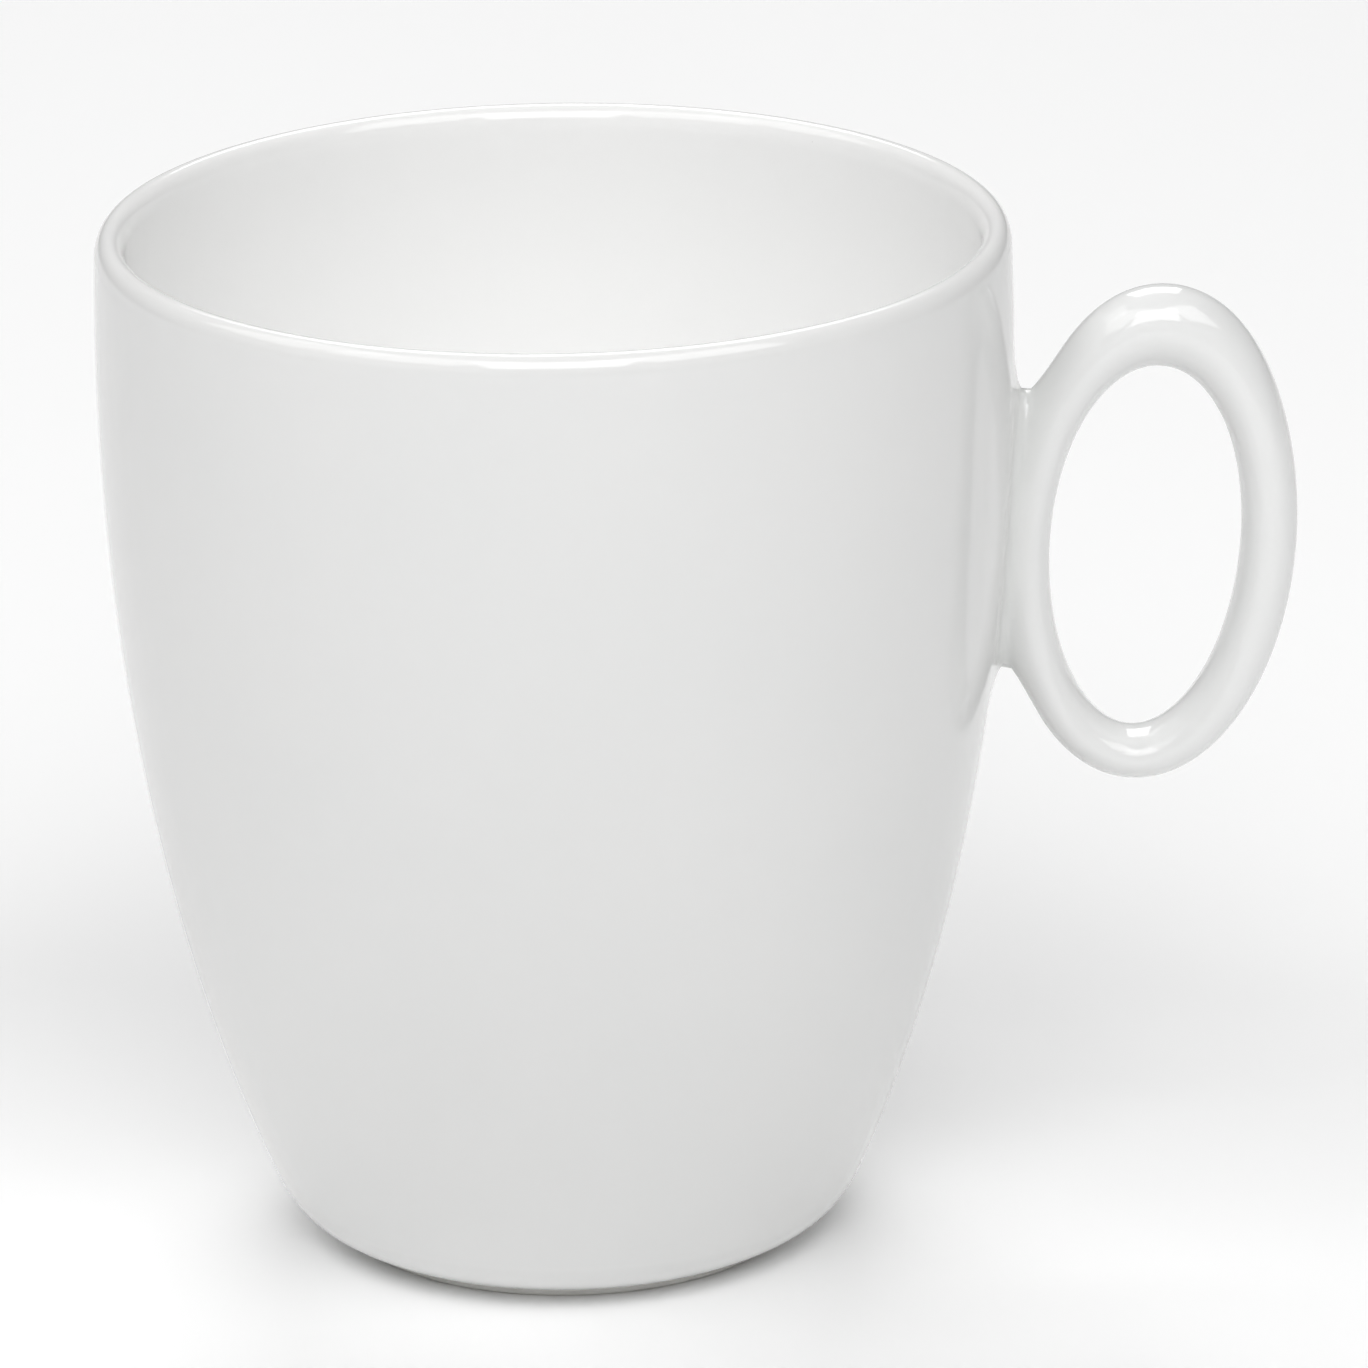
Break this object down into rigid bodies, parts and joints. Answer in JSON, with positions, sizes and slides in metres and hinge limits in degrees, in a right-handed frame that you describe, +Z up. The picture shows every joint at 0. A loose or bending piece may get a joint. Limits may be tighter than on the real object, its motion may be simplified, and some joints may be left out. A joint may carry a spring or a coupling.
{
  "type": "porcelain mug",
  "caption": "Tall tapering porcelain mug with an oval ring handle, a rounded rim and a bare foot ring.",
  "frame": {"origin": "middle of the space that the mug takes up on the table, on the table's surface; the cup's own axis stands 13.2 mm towards -X", "axes": "+Z up, along the cup's axis; +X from the cup's axis to its handle"},
  "size_m": [0.1116, 0.0852, 0.0981],
  "materials": {
    "biscuit": "fired porcelain body, bare on the foot ring, fine matte",
    "slip": "fired luting slip, under the glaze",
    "glaze": "clear to white porcelain glaze, high gloss"
  },
  "bodies": {
    "root": {"body": "biscuit", "handle_ring": "biscuit", "handle_slip_joint": "slip", "glaze_coat": "glaze", "glaze_foot_well": "glaze"}
  },
  "joints": []
}
